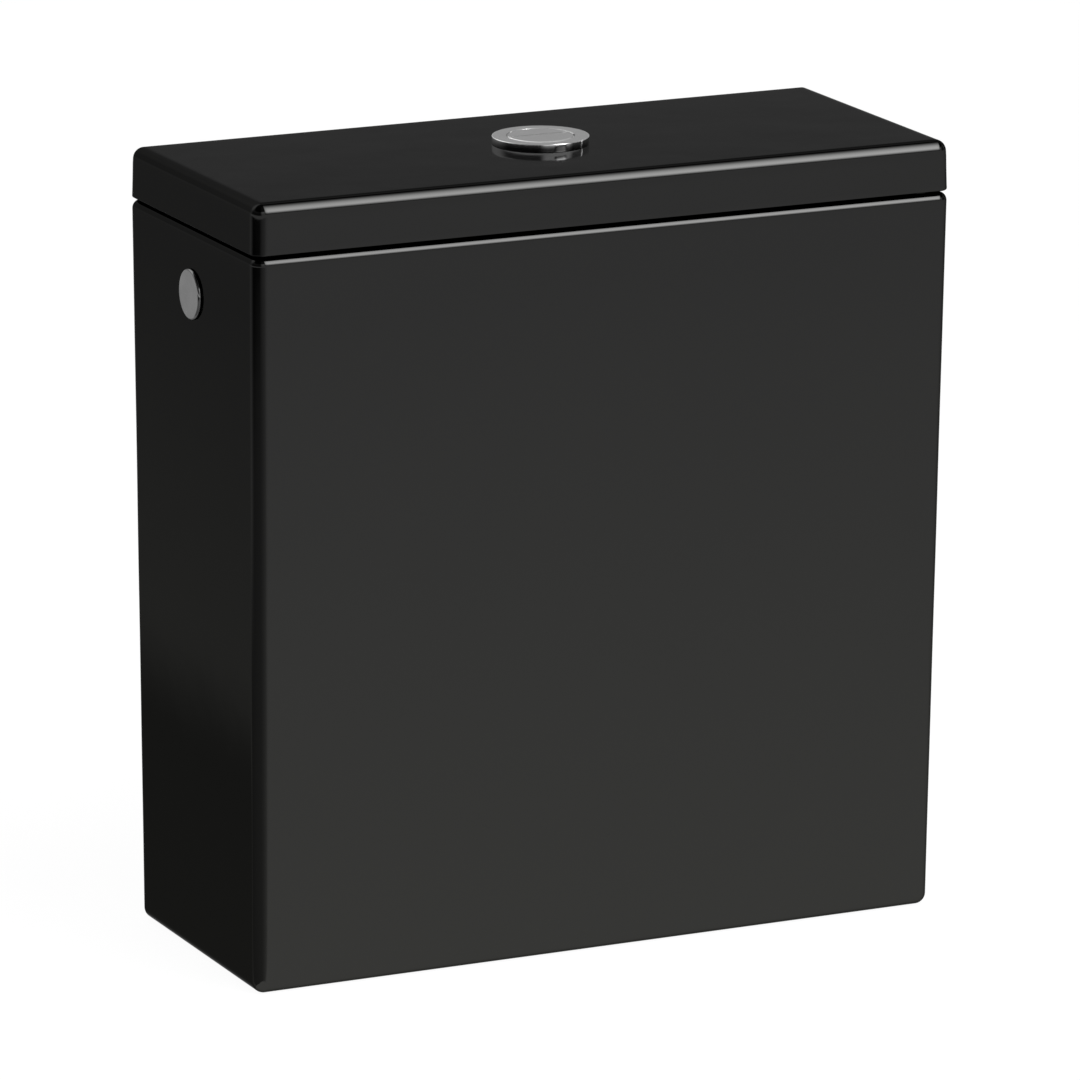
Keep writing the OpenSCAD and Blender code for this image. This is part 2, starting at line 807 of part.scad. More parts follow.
module inlet_tail() {
    color([0.78, 0.62, 0.32])
    difference() {
        union() {
            from_side(x_socket) cylinder(d = inlet_thread_d, h = seat_out(0) + tail_l - x_socket);
            from_side(x_flange) cylinder(r = tail_flange_r, h = tail_flange_t);
        }
        from_side(x_socket - cut) cylinder(d = inlet_bore_d, h = tank_w);
        from_side(x_free) ring(tail_flange_r, inlet_thread_d/2 - groove_t, 0, groove_w);
    }
}

module inlet_washer() {
    color([0.1, 0.1, 0.1]) from_side(x_flange + tail_flange_t) thread_washer(tail_flange_r, side_washer_t);
}

module inlet_collar() {
    color([0.55, 0.3, 0.2]) from_side(seat_out(tail_flange_r)) thread_washer(tail_flange_r, collar_t);
}

// Flat ring that fits over the inlet's thread
module thread_washer(r, t) {
    ring(r, inlet_thread_d/2 + fit_gap, 0, t);
}

module inlet_nut() {
    color([0.8, 0.64, 0.34])
        from_side(seat_out(tail_flange_r) + collar_t) hex_nut(side_nut_r, side_nut_h);
}

module hex_nut(r, h) {
    difference() {
        cylinder(r = r, h = h, $fn = 6);
        translate([0, 0, -cut]) cylinder(d = inlet_thread_d + 2*fit_gap, h = h + 2*cut);
    }
}

// Body of the fill valve: a socket for the inlet, an upright chamber, a nozzle and two ears
body_r = 14;
body_up = 18;         // reach of the chamber above and below the inlet's axis
nozzle_r = 10;
nozzle_l = 14;
pipe_r = 7;
pipe_wall = 1.5;
pipe_grip = 12;
socket_wall = 3;
socket_bite = 2;      // depth of the socket inside the chamber
arm_gap = 6;          // distance of the arm's pin from the chamber
arm_up = 6;           // height of the arm's pin above the inlet
x_body = x_socket - body_r + socket_bite;
x_arm = x_body - body_r - arm_gap;
z_arm = side_hole_h + arm_up;
arm_hub_r = 4.5;
arm_hub_w = 14;
ear_t = 3;
ear_r = 6;
arm_pin_d = 4;

module fill_body() {
    z_nozzle = side_hole_h - body_up - nozzle_l;
    color([0.92, 0.92, 0.93])
    difference() {
        union() {
            translate([x_body, 0, side_hole_h - body_up]) cylinder(r = body_r, h = 2*body_up);
            translate([x_body, 0, z_nozzle]) cylinder(r = nozzle_r, h = nozzle_l + cut);
            from_side(x_body) cylinder(d = inlet_thread_d + 2*socket_wall, h = x_flange - x_body);
            for (sy = [-1, 1])
                translate([0, sy*(arm_hub_w/2 + rest_gap + ear_t/2), 0]) along(ear_t) ear_outline();
        }
        from_side(x_socket) cylinder(d = inlet_thread_d + 2*fit_gap, h = socket_l + cut);
        from_side(x_body) cylinder(d = inlet_bore_d, h = x_flange - x_body);
        translate([x_body, 0, z_nozzle - cut]) cylinder(r = pipe_r - pipe_wall, h = side_hole_h - z_nozzle + cut);
        translate([x_body, 0, z_nozzle - cut]) cylinder(r = pipe_r + fit_gap, h = pipe_grip + cut);
    }
}

// Ear that holds one end of the float arm's pin
module ear_outline() {
    difference() {
        union() {
            translate([x_arm, z_arm]) circle(ear_r);
            translate([x_arm, z_arm - ear_r]) square([x_body - x_arm, 2*ear_r]);
        }
        translate([x_arm, z_arm]) circle(d = arm_pin_d);
    }
}

// Screwed cap over the valve's diaphragm, fluted for grip
fill_cap_h = 11;
fill_cap_wall = 1.5;
fill_cap_r = body_r + fill_cap_wall;
flutes = 16;
flute_r = 1.2;

module fill_cap() {
    color([0.25, 0.5, 0.72])
    translate([x_body, 0, side_hole_h + body_up])
        difference() {
            cylinder(r = fill_cap_r, h = fill_cap_h);
            for (i = [0 : flutes - 1])
                rotate([0, 0, i*360/flutes])
                    translate([fill_cap_r, 0, -cut]) cylinder(r = flute_r, h = fill_cap_h + 2*cut);
        }
}

module fill_pipe() {
    z1 = side_hole_h - body_up - nozzle_l + pipe_grip;
    color([0.9, 0.9, 0.9])
        translate([x_body, 0, 0]) ring(pipe_r, pipe_r - pipe_wall, z_floor + pipe_gap, z1);
}

// Float arm, drawn level from its pin towards the middle of the tank and then let down
arm_t = 5;
arm_w = 8;
arm_boss_r = 6;
screw_d = 4;
screw_head_r = 4;
screw_head_h = 2.5;
screw_l = 14;
float_boss_h = 6;
float_r = 7;

module arm_pin() {
    color([0.7, 0.7, 0.72])
        translate([x_arm, 0, z_arm])
            rotate([90, 0, 0]) cylinder(d = arm_pin_d, h = arm_hub_w + 2*(rest_gap + ear_t + pin_end), center = true);
}

module let_down() {
    translate([x_arm, 0, z_arm]) rotate([0, -arm_drop, 0]) children();
}

module float_arm() {
    color([0.25, 0.5, 0.72])
    let_down()
        difference() {
            union() {
                along(arm_hub_w) circle(arm_hub_r);
                translate([-arm_l, -arm_w/2, -arm_t/2]) cube([arm_l, arm_w, arm_t]);
                translate([-arm_l, 0, -arm_t/2]) cylinder(r = arm_boss_r, h = arm_t);
            }
            rotate([90, 0, 0])
                cylinder(r = arm_pin_d/2 + fit_gap, h = arm_hub_w + 2*cut, center = true);
            translate([-arm_l, 0, -arm_t/2 - cut]) cylinder(r = screw_d/2 + fit_gap, h = arm_t + 2*cut);
        }
}

module arm_screw() {
    color([0.75, 0.6, 0.3])
    let_down()
        translate([-arm_l, 0, arm_t/2]) {
            translate([0, 0, -screw_l]) cylinder(d = screw_d, h = screw_l);
            cylinder(r = screw_head_r, h = screw_head_h);
        }
}

module fill_float() {
    z_boss = -arm_t/2;
    z1 = z_boss - float_boss_h;
    color([0.93, 0.93, 0.9])
    let_down()
        translate([-arm_l, 0, 0])
            difference() {
                union() {
                    hull()
                        for (sx = [-1, 1])
                            for (sy = [-1, 1])
                                for (z = [z1 - float_r, z1 - float_h + float_r])
                                    ball_corner([sx*(float_l/2 - float_r), sy*(float_w/2 - float_r), z], float_r);
                    translate([0, 0, z1 - cut]) cylinder(r = arm_boss_r, h = float_boss_h + cut);
                }
                translate([0, 0, arm_t/2 - screw_l]) cylinder(d = screw_d + 2*fit_gap, h = screw_l);
            }
}

// Blanking cap on the left side, with its washer and nut inside the tank
cap_bevel = 0.8;
cap_nut_h = 8;
cap_nut_step = 1;     // the cap's nut is this much smaller than the inlet's
cap_nut_lugs = 6;
cap_nut_r = side_nut_r - cap_nut_step;
cap_stud_out = 3;     // length of stud past its nut
x_cap_nut = seat_in(cap_nut_r + lug_out) - side_washer_t - cap_nut_h;

module side_cap() {
    r = cap_d/2;
    x0 = x_cap_nut - cap_stud_out;
    color([0.75, 0.75, 0.75])
        from_side(seat_out(r), -1) {
            rotate_extrude()
                polygon([[0, 0], [r, 0], [r, cap_h - cap_bevel], [r - cap_bevel, cap_h], [0, cap_h]]);
            translate([0, 0, x0 - seat_out(r)]) cylinder(d = inlet_thread_d, h = seat_out(r) - x0 + cap_h/2);
        }
}

module cap_washer() {
    color([0.1, 0.1, 0.1])
        from_side(x_cap_nut + cap_nut_h, -1) thread_washer(cap_nut_r, side_washer_t);
}

module cap_nut() {
    color([0.9, 0.9, 0.9])
        from_side(x_cap_nut, -1) lug_nut(cap_nut_r, inlet_thread_d, cap_nut_h, cap_nut_lugs);
}

tank();
lid();
lid_buffers();
button_bezel();
bezel_seal();
bezel_nut();
button_guide();
full_button();
half_button();
full_rod();
half_rod();
full_spring();
half_spring();
valve_base();
base_washer();
base_nut();
pan_gasket();
valve_cage();
valve_bridge();
rocker_pins();
overflow_tube();
flush_seal();
seal_clip();
main_float();
lift_hook();
full_rocker();
half_rocker();
half_float();
inlet_tail();
inlet_washer();
inlet_collar();
inlet_nut();
fill_body();
fill_cap();
fill_pipe();
arm_pin();
float_arm();
arm_screw();
fill_float();
side_cap();
cap_washer();
cap_nut();
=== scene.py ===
import json
import math
import bmesh
import bpy
import numpy as np
from mathutils import Matrix, Vector


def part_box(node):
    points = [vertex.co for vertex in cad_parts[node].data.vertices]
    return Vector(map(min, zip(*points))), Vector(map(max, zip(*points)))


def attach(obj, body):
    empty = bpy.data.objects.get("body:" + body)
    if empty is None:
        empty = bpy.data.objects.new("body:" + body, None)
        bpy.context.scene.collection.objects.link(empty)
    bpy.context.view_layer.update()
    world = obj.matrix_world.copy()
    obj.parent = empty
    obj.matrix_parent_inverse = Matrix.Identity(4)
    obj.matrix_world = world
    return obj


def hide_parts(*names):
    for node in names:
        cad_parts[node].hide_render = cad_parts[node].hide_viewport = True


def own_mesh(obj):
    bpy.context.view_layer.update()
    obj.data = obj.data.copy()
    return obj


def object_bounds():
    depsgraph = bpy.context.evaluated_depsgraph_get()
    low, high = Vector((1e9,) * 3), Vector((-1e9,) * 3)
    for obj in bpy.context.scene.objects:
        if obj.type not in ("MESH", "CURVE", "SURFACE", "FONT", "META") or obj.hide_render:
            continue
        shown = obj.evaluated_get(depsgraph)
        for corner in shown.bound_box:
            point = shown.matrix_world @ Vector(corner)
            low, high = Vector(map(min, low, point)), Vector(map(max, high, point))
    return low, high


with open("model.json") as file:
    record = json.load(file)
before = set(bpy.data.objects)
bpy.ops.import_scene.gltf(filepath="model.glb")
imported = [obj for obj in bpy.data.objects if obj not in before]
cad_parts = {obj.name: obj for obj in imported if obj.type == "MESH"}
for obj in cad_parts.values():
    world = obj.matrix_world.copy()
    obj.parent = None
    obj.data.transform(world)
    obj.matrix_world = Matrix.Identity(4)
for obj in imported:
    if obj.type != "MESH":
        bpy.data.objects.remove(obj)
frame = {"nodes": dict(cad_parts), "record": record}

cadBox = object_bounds()  # the CAD model's own box
print("stage: frame loaded,", len(frame["nodes"]), "nodes")

# sizes in metres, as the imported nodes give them
tankHigh = np.array(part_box("tank")[1])
lidLow, lidHigh = (np.array(c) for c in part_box("lid"))
bezelLow, bezelHigh = (np.array(c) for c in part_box("button_bezel"))
fullLow, fullHigh = (np.array(c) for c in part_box("full_button"))
halfLow, halfHigh = (np.array(c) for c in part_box("half_button"))
capLow, capHigh = (np.array(c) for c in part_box("side_cap"))
mm = 0.001
sharpAngle = 40            # degrees, edges steeper than this stay crisp
plateAngle = 35            # the same for the chrome pieces
mergeGap = 0.0002*mm       # points closer than this become one
leastRound = 0.2*mm        # smallest corner of a plan loop
holeSides = 64
ringShares = [0.01, 0.25, 0.5, 0.75, 1]   # steps from a plan loop to a round hole


def smoothMesh(name, verts, faces, sharp=sharpAngle):
    # puts whole arrays into a new mesh, smooth apart from edges steeper than sharp degrees
    mesh = bpy.data.meshes.new(name)
    mesh.from_pydata(verts.tolist(), [], [tuple(f) for f in faces])
    merged = bmesh.new()
    merged.from_mesh(mesh)
    bmesh.ops.remove_doubles(merged, verts=merged.verts, dist=mergeGap)
    merged.to_mesh(mesh)
    merged.free()
    mesh.update()
    mesh.polygons.foreach_set("use_smooth", np.ones(len(mesh.polygons), dtype=bool))
    mesh.set_sharp_from_angle(angle=math.radians(sharp))
    piece = bpy.data.objects.new(name, mesh)
    bpy.context.scene.collection.objects.link(piece)
    return piece


def gridFaces(rows, cols, closeRows=False):
    # quads between neighbouring rows of a grid whose columns close round on themselves
    r = np.arange(rows if closeRows else rows - 1)[:, None]
    c = np.arange(cols)[None, :]
    rNext = (r + 1) % rows
    cNext = (c + 1) % cols
    quads = np.stack([r*cols + c, r*cols + cNext, rNext*cols + cNext, rNext*cols + c], axis=-1)
    return quads.reshape(-1, 4)


def roundLoops(x0, x1, y0, y1, r, arc=10, side=24):
    # one rounded rectangle per row: quarter circles of radius r about the corners, then straight sides
    given = (np.atleast_1d(np.asarray(v, float)) for v in (x0, x1, y0, y1, r))
    x0, x1, y0, y1, r = np.broadcast_arrays(*given)
    cx = np.stack([x1 - r, x0 + r, x0 + r, x1 - r], axis=1)[..., None]
    cy = np.stack([y1 - r, y1 - r, y0 + r, y0 + r], axis=1)[..., None]
    a = np.radians(np.arange(4)[:, None]*90 + np.linspace(0, 90, arc)[None, :])[None]
    ax = cx + r[:, None, None]*np.cos(a)
    ay = cy + r[:, None, None]*np.sin(a)
    t = (1 - np.cos(np.linspace(0, np.pi, side + 2)[1:-1]))/2
    sx = ax[..., -1:]*(1 - t) + np.roll(ax, -1, axis=1)[..., :1]*t
    sy = ay[..., -1:]*(1 - t) + np.roll(ay, -1, axis=1)[..., :1]*t
    x = np.concatenate([ax, sx], axis=2).reshape(len(r), -1)
    y = np.concatenate([ay, sy], axis=2).reshape(len(r), -1)
    return np.stack([x, y], axis=-1)


def toCircle(loop, radius, shares):
    # rows that change from a loop to a circle about the origin, along the same bearings
    bearing = np.arctan2(loop[:, 1], loop[:, 0])
    ring = radius*np.stack([np.cos(bearing), np.sin(bearing)], axis=-1)
    s = np.asarray(shares, float)[:, None, None]
    return loop[None]*(1 - s) + ring[None]*s


def atHeight(loops, z):
    # lifts plan loops to their heights, one for each loop or one for all
    z = np.broadcast_to(np.asarray(z, float)[..., None], loops.shape[:2])
    return np.concatenate([loops, z[..., None]], axis=-1)


def quarter(n):
    # n bearings from 0 to 90 degrees, in radians
    return np.radians(np.linspace(0, 90, n))


def revolve(profile, turns=128, centre=(0, 0)):
    # a closed profile of radius and height, carried once round an upright axis
    a = np.linspace(0, 2*np.pi, turns, endpoint=False)
    r = np.asarray(profile)[:, 0][:, None]
    z = np.asarray(profile)[:, 1][:, None]
    verts = np.stack([
        centre[0] + r*np.cos(a), centre[1] + r*np.sin(a), np.broadcast_to(z, (len(profile), turns)),
    ], axis=-1)
    return verts.reshape(-1, 3), gridFaces(len(profile), turns, closeRows=True)


def arcPoints(r, z, radius, start, end, n=8):
    # points of a circle's arc in a profile, between two bearings in degrees
    a = np.radians(np.linspace(start, end, n))
    return np.stack([r + radius*np.cos(a), z + radius*np.sin(a)], axis=-1)


def cutHoles(piece, holes):
    # drills round holes through a piece, given as middle, radius, length and turn about Y
    for middle, r, length, turn in holes:
        bpy.ops.mesh.primitive_cylinder_add(
            vertices=holeSides, radius=r, depth=length, location=middle, rotation=(0, turn, 0))
        drill = bpy.context.object
        cut = piece.modifiers.new("hole", "BOOLEAN")
        cut.operation = "DIFFERENCE"
        cut.solver = "EXACT"
        cut.object = drill
        bpy.context.view_layer.objects.active = piece
        bpy.ops.object.modifier_apply(modifier=cut.name)
        bpy.data.objects.remove(drill)
    piece.data.set_sharp_from_angle(angle=math.radians(sharpAngle))


tankSet = dict(
    sideDraft=2.3*mm,      # each side draws in towards the base
    frontDraft=9.7*mm,     # the front draws in more, the back stays upright
    wall=9*mm,
    floorTop=36*mm,
    recess=26*mm,          # hollow under the floor
    baseRim=14*mm,
    edge=6*mm,             # upright and lower edges
    rim=4.5*mm,            # outer edge of the rim
    lip=1.2*mm,            # inner edge of the rim
    innerEdge=12*mm,
    recessEdge=10*mm,
    outletHole=31.4*mm,
    boltHole=5.5*mm,
    boltAt=75*mm,
    sideHole=9.13*mm,      # for the inlet and for the cap
    past=10*mm,            # the drills of the bolt holes are longer than the floor is thick by this
    wave=0.10*mm,          # slow unevenness of the cast wall, inwards only
    waves=(41, 17),        # how fast it comes and goes with the height
    rows=(60, 14),         # up the outside and down the inside
)


def buildTank():
    # plan loops along one profile: up the outside, over the rim, down the inside, through the outlet
    # and back under the floor; rows a few tenths of a millimetre from an edge hold it crisp
    s = tankSet
    height = tankHigh[2]
    halfWide = tankHigh[0]
    depth = tankHigh[1]

    def outline(z, inset, r):
        z = np.asarray(z, float)
        slope = 1 - z/height
        side = halfWide - s["sideDraft"]*slope - inset
        front = -depth + s["frontDraft"]*slope + inset
        back = depth - inset + 0*z
        return atHeight(roundLoops(-side, side, front, back, np.maximum(r, leastRound)), z)

    q = quarter(10)
    e, top, lip, k = s["edge"], s["rim"], s["lip"], s["innerEdge"]
    foot = outline(e*(1 - np.cos(q)), e*(1 - np.sin(q)), e*np.sin(q))
    z = np.linspace(e, height - top, s["rows"][0])[1:-1]
    fast, slow = s["waves"]
    swell = 0.5 + 0.5*np.sin(z*fast)*np.sin(z*slow + 1)
    outer = outline(z, s["wave"]*swell*np.sin(np.pi*(z - z[0])/(z[-1] - z[0])), e)
    rim = outline(height - top*(1 - np.sin(q)), top*(1 - np.cos(q)), e - top*(1 - np.cos(q)))
    flat = outline(
        np.full(3, height), np.linspace(top + 0.2*mm, s["wall"] - lip, 3), np.linspace(2*mm, k, 3))
    bend = q[1:]
    innerLip = outline(
        height - lip*(1 - np.cos(bend)), s["wall"] - lip*(1 - np.sin(bend)), np.full(len(bend), k))
    zIn = np.linspace(height - lip, s["floorTop"] + k, s["rows"][1])[1:-1]
    inner = outline(zIn, s["wall"] + 0*zIn, k + 0*zIn)
    cove = outline(s["floorTop"] + k*(1 - np.sin(q)), s["wall"] + k*(1 - np.cos(q)), k*np.cos(q))
    floor = atHeight(toCircle(cove[-1][:, :2], s["outletHole"], ringShares), s["floorTop"])
    well = floor[-1:].repeat(2, axis=0)
    well[:, :, 2] = np.array([s["recess"] + 3*mm, s["recess"]])[:, None]
    hollow = outline(np.zeros(1), s["baseRim"] + np.zeros(1), s["recessEdge"] + np.zeros(1))
    inward = ringShares[-2::-1] + [0]
    ceiling = atHeight(toCircle(hollow[0][:, :2], s["outletHole"], inward), s["recess"])
    skirt = hollow.repeat(3, axis=0)
    skirt[:, :, 2] = np.array([s["recess"] - 0.3*mm, s["recess"]/2, 0.4*mm])[:, None]
    stand = outline(np.zeros(2), np.array([s["baseRim"] - 0.5*mm, e + 0.3*mm]), np.array([9.5, 2])*mm)
    rows = np.concatenate([
        foot, outer, rim, flat, innerLip, inner, cove, floor, well, ceiling, skirt, stand])
    piece = smoothMesh("tankShell", rows.reshape(-1, 3), gridFaces(*rows.shape[:2], closeRows=True))
    base = (s["recess"] + s["floorTop"])/2
    thick = s["floorTop"] - s["recess"] + s["past"]
    holeZ = (capLow[2] + capHigh[2])/2
    bolts = [((sx*s["boltAt"], 0, base), s["boltHole"], thick, 0) for sx in (-1, 1)]
    sides = [((sx*halfWide, 0, holeZ), s["sideHole"], 4*s["wall"], math.pi/2) for sx in (-1, 1)]
    cutHoles(piece, bolts + sides)
    return piece


def closeEnds(rows):
    # quads between the rows of a grid, and one face over its first row and its last
    count, n = rows.shape[:2]
    faces = [tuple(f) for f in gridFaces(count, n)]
    faces += [tuple(range(n))[::-1], tuple(range((count - 1)*n, count*n))]
    return rows.reshape(-1, 3), faces


def blockShell(low, high, r):
    # a block with rounded upright edges: loops up its sides, drawn in to a small loop at each end
    low, high = np.asarray(low), np.asarray(high)
    last = 0.98*min(high[0] - low[0], high[1] - low[1])/2   # stops just short of the middle
    insets = np.array([last, r/2, 0, 0, r/2, last])
    z = np.array([low[2], low[2], low[2] + r/2, high[2] - r/2, high[2], high[2]])
    rad = np.array([0.01*mm, r/2, r, r, r/2, 0.01*mm])
    loops = roundLoops(
        low[0] + insets, high[0] - insets, low[1] + insets, high[1] - insets, rad, arc=4, side=2)
    return closeEnds(atHeight(loops, z))


def joinShells(name, shells, sharp=sharpAngle):
    # several closed shells in one mesh
    verts, faces, count = [], [], 0
    for v, f in shells:
        verts.append(v)
        faces += [tuple(int(i) + count for i in face) for face in f]
        count += len(v)
    return smoothMesh(name, np.concatenate(verts), faces, sharp)


lidSet = dict(
    draft=0.5*mm,
    edge=6*mm,
    foot=1*mm,             # lower outer edge
    plate=9*mm,
    skirt=12*mm,
    cove=3*mm,             # inner edge under the top
    innerEdge=6*mm,
    drop=6*mm,             # locating ribs below the skirt
    rib=(6*mm, 40*mm),     # their thickness and length
    ribEdge=1.5*mm,
    ribGap=1*mm,           # between a rib and the tank's wall
    hole=20*mm,
    wave=0.06*mm,
)


def buildLid():
    # plan loops along one profile: out over the top, down the skirt, and back under the top to the
    # button's hole, with blocks for the ribs
    s = lidSet
    low = lidLow[2] + s["drop"]
    high = lidHigh[2]
    halfWide, halfDeep = lidHigh[0], lidHigh[1]
    under = high - s["plate"]

    def outline(z, inset, r):
        x = halfWide - np.asarray(inset, float)
        y = halfDeep - np.asarray(inset, float)
        return atHeight(roundLoops(-x, x, -y, y, np.maximum(r, leastRound)), z)

    q = quarter(10)
    e, f, d, c = s["edge"], s["foot"], s["draft"], s["cove"]
    edge = outline(high - e*(1 - np.cos(q)), d + e*(1 - np.sin(q)), e*np.sin(q))
    top = atHeight(toCircle(edge[0][:, :2], s["hole"], ringShares[::-1]), high)
    z = np.linspace(high - e, low + f, 10)[1:-1]
    share = (z - low)/(high - low)
    side = outline(z, d*share + s["wave"]*np.sin(np.pi*share), np.full(len(z), tankSet["edge"]))
    foot = outline(low + f*(1 - np.sin(q)), f*(1 - np.cos(q)), tankSet["edge"] - f*(1 - np.cos(q)))
    flat = outline(np.full(2, low), np.array([f + 0.3*mm, s["skirt"] - 0.6*mm]), np.full(2, 5*mm))
    inner = outline(np.array([low + 0.6*mm, under - c]), np.full(2, s["skirt"]), np.full(2, s["innerEdge"]))
    bend = c*(1 - np.cos(q))
    cove = outline(under - c*(1 - np.sin(q)), s["skirt"] + bend, s["innerEdge"] - 0.8*bend)
    belly = atHeight(toCircle(cove[-1][:, :2], s["hole"], ringShares), under)
    bore = belly[-1:].repeat(2, axis=0)
    bore[:, :, 2] = np.array([under + 2*mm, high - 2*mm])[:, None]
    rows = np.concatenate([top, edge, side, foot, flat, inner, cove, belly, bore])
    shells = [(rows.reshape(-1, 3), gridFaces(*rows.shape[:2], closeRows=True)[:, ::-1])]
    thick, long = s["rib"]
    inset = tankSet["wall"] + s["ribGap"] + thick
    xIn, yIn = halfWide - inset, halfDeep - inset
    tip = low - s["drop"]
    for sx in (-1, 1):
        xs = sorted((sx*xIn, sx*(xIn + thick)))
        shells.append(blockShell((xs[0], -long/2, tip), (xs[1], long/2, under), s["ribEdge"]))
        for sy in (-1, 1):
            ys = sorted((sy*yIn, sy*(yIn + thick)))
            x = sx*halfWide/2
            shells.append(blockShell((x - long/2, ys[0], tip), (x + long/2, ys[1], under), s["ribEdge"]))
    return joinShells("lidShell", shells)


bezelSet = dict(
    bore=17.3*mm,
    barrel=18.7*mm,
    soft=0.3*mm,           # outer edge
    lip=0.05*mm,           # edge of the bore
    foot=0.2*mm,           # edge above the lid
    lift=0.25*mm,          # middle of that edge's arc over the lid
    bevel=0.5*mm,
    ledge=(1.6*mm, 2*mm),  # width and thickness
    turns=160,
)


def buildBezel():
    # a profile turned about Z: a flange on the lid, a barrel through it, and a ledge at the barrel's foot
    s = bezelSet
    top, low = bezelHigh[2], bezelLow[2]
    seat = lidHigh[2]
    rOut = bezelHigh[0]
    bore, barrel, bevel = s["bore"], s["barrel"], s["bevel"]
    rIn, ledgeTop = bore - s["ledge"][0], low + s["ledge"][1]
    profile = np.concatenate([
        arcPoints(bore + s["lip"], top - s["lip"], s["lip"], 180, 90, 5),
        arcPoints(rOut - s["soft"], top - s["soft"], s["soft"], 90, 0, 9),
        arcPoints(rOut - s["foot"], seat + s["lift"], s["foot"], 0, -80, 4),
        [[barrel, seat], [barrel, low + bevel], [barrel - bevel, low]],
        [[rIn, low], [rIn, ledgeTop], [bore, ledgeTop]],
    ])
    verts, faces = revolve(profile[::-1], s["turns"])
    return smoothMesh("bezelRing", verts, faces, plateAngle)


def dLoop(radius, chord, front, n=120, soft=0.96*mm):
    # a disc cut straight at y = chord: arc and chord, with the corners eased within the distance soft
    a0 = math.asin(chord/radius)
    if front:
        a = np.linspace(np.pi - a0, 2*np.pi + a0, n)
    else:
        a = np.linspace(a0, np.pi - a0, n)
    arc = radius*np.stack([np.cos(a), np.sin(a)], axis=-1)
    x = np.linspace(arc[-1, 0], arc[0, 0], n//2 + 2)[1:-1]
    loop = np.concatenate([arc, np.stack([x, np.full(len(x), chord)], axis=-1)])
    for i in range(6):  # each pass puts the points near a corner between their neighbours
        near = np.abs(np.hypot(loop[:, 0], loop[:, 1]) - radius) + np.abs(loop[:, 1] - chord) < soft
        mean = (np.roll(loop, 1, axis=0) + np.roll(loop, -1, axis=0))/2
        loop[near] = mean[near]
    return loop


buttonSet = dict(
    radius=16.95*mm,
    split=0.2*mm,          # from the split's middle to each half
    softFront=0.8*mm,      # rounding of the front half's edge
    softRear=0.1*mm,
    ease=3*mm,             # the rounding dies out over this distance from the split
    still=0.02,            # share of that distance with no rounding at all
    crown=0.04*mm,
    plate=2*mm,
    wall=1.5*mm,
    skirt=10*mm,
    stem=3.2*mm,
    rod=1.8*mm,
    stemTop=3*mm,          # below the button's top
    bevel=0.4*mm,
    ends=0.985,            # a closing row is drawn in by this share
)


def buildButton(name, low, high, front, rodY):
    # a pressed plate: loops of a cut disc drawn in over a rounded edge, a thin skirt, and a stem below
    s = buttonSet
    chord = (fullHigh[1] + halfLow[1])/2 + (-s["split"] if front else s["split"])
    loop = dLoop(s["radius"], chord, front)
    centre = loop.mean(axis=0)
    centre[0] = 0
    top = high[2]
    edge = (s["softFront"] if front else s["softRear"])*np.clip(
        np.abs(loop[:, 1] - chord)/s["ease"] - s["still"], 0, 1)
    rows, heights = [], []

    def addRow(inset, z):
        # the loop drawn in by a distance
        out = loop - centre
        size = np.hypot(out[:, 0], out[:, 1])
        rows.append(centre + out*(1 - inset/size)[:, None])
        heights.append(z + np.zeros(len(loop)))

    def addFlat(share, z):
        # the loop drawn in by a share of its size
        rows.append(centre + (loop - centre)*(1 - share))
        heights.append(z + np.zeros(len(loop)))

    wall, crown, foot = s["wall"], s["crown"], top - s["skirt"]
    for share in (s["ends"], 0.6, 0.2):
        addFlat(share, top - s["plate"])
    addRow(wall, top - s["plate"])
    addRow(wall, foot)
    addRow(0.1*mm, foot)
    addRow(0, foot + 0.2*mm)
    addRow(0, top - s["skirt"]/2)
    for a in quarter(9):
        addRow(edge*(1 - math.cos(a)), top - crown - edge*(1 - math.sin(a)))
    addRow(1.25*edge, top - crown)   # keeps the rounding off the flat
    for share in (0.2, 0.4, 0.6, 0.8, s["ends"]):
        addFlat(share, top - crown*(1 - share))
    grid = np.concatenate([np.array(rows), np.array(heights)[..., None]], axis=-1)
    rod, stem, bevel = s["rod"], s["stem"], s["bevel"]
    stemLow, stemTop = low[2], top - s["stemTop"]
    profile = np.array([
        [rod, stemLow], [rod, stemTop], [stem, stemTop], [stem, stemLow + bevel], [stem - bevel, stemLow],
    ])
    return joinShells(name, [closeEnds(grid), revolve(profile[::-1], 48, (0, rodY))], plateAngle)


capSet = dict(
    thick=1.6*mm,
    soft=1.3*mm,           # edge of the face
    step=0.4*mm,           # the disc draws in where it meets the wall
    stud=8.33*mm,
    bevel=0.6*mm,
)


def buildCap():
    # a profile turned about X: a disc with an eased edge, a step where it meets the wall, the stud behind
    s = capSet
    r = (capHigh[1] - capLow[1])/2
    face, end = capLow[0], capHigh[0]
    seat = face + s["thick"]
    soft, stud, bevel = s["soft"], s["stud"], s["bevel"]
    rStep = r - s["step"]
    profile = np.concatenate([
        [[0, face], [r*0.5, face], [r - 1.4*soft, face]],
        arcPoints(r - soft, face + soft, soft, -90, 0, 9),
        [[r, seat - 0.3*mm], [rStep, seat - 0.2*mm], [rStep, seat]],
        [[stud, seat], [stud, end - bevel], [stud - bevel, end], [0, end]],
    ])
    verts, faces = revolve(profile)
    middle = (capLow[2] + capHigh[2])/2
    turned = np.stack([verts[:, 2], verts[:, 0], middle + verts[:, 1]], axis=-1)
    return smoothMesh("sideCap", turned, faces, plateAngle)


springSet = dict(wire=0.4*mm, turns=7, steps=36, sides=8, sharp=60)


